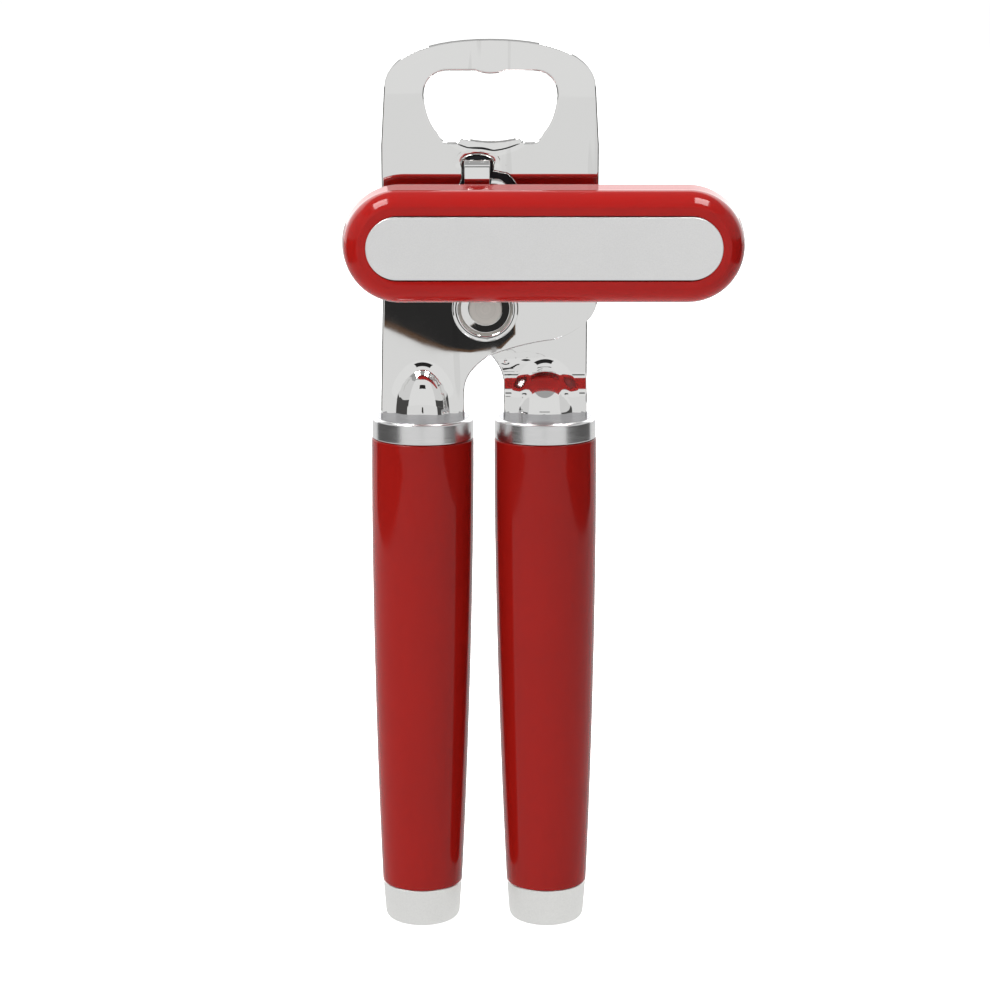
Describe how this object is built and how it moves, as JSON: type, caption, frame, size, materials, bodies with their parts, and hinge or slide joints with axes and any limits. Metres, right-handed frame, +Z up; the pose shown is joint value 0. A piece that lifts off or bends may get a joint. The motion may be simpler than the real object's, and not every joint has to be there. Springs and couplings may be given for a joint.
{
  "type": "manual can opener",
  "caption": "Hand-held can opener with two red handles, a turning bar that drives a toothed feed wheel, a cutting wheel, and a bottle-opener loop at the top",
  "frame": {"origin": "on the plane the two handle caps stand on, midway across the turning bar and midway front to back", "axes": "+Z up along the handles, -Y towards the user who turns the bar, +X to the user's right"},
  "size_m": [0.0914, 0.041, 0.212],
  "materials": {
    "chrome_plate": "polished",
    "steel_parts": "turned, fine marks",
    "hardened_steel": "ground",
    "satin_metal": "satin, brushed",
    "red_gloss": "gloss",
    "core_plastic": "moulded"
  },
  "bodies": {
    "front_arm": {"front_plate": "chrome_plate", "shaft_bush": "steel_parts", "pivot_washer": "chrome_plate", "pivot_rivet": "steel_parts", "left_core": "core_plastic", "left_ferrule": "satin_metal", "left_grip": "red_gloss", "left_tie_rod": "steel_parts", "left_end_cap": "satin_metal"},
    "rear_arm": {"rear_plate": "chrome_plate", "cutter_stud": "chrome_plate", "cutter_retainer": "steel_parts", "right_core": "core_plastic", "right_ferrule": "satin_metal", "right_grip": "red_gloss", "right_tie_rod": "steel_parts", "right_end_cap": "satin_metal"},
    "cutter": {"cutter_wheel": "hardened_steel"},
    "crank": {"crank_knob": "red_gloss", "crank_insert": "satin_metal", "crank_shaft": "steel_parts", "thrust_washer": "steel_parts", "feed_wheel": "hardened_steel", "feed_nut": "steel_parts"}
  },
  "joints": [
    {"name": "handle_opening", "type": "hinge", "parent": "front_arm", "child": "rear_arm", "pos_m": [-0.0132, 0.00617, 0.15], "axis": [0, -1, 0], "range_deg": [0, 8]},
    {"name": "crank_spin", "type": "hinge", "parent": "front_arm", "child": "crank", "pos_m": [0, 0.00617, 0.1668], "axis": [0, -1, 0], "continuous": true},
    {"name": "cutter_spin", "type": "hinge", "parent": "rear_arm", "child": "cutter", "pos_m": [-0.0114, 0.00617, 0.1761], "axis": [0, -1, 0], "continuous": true}
  ]
}
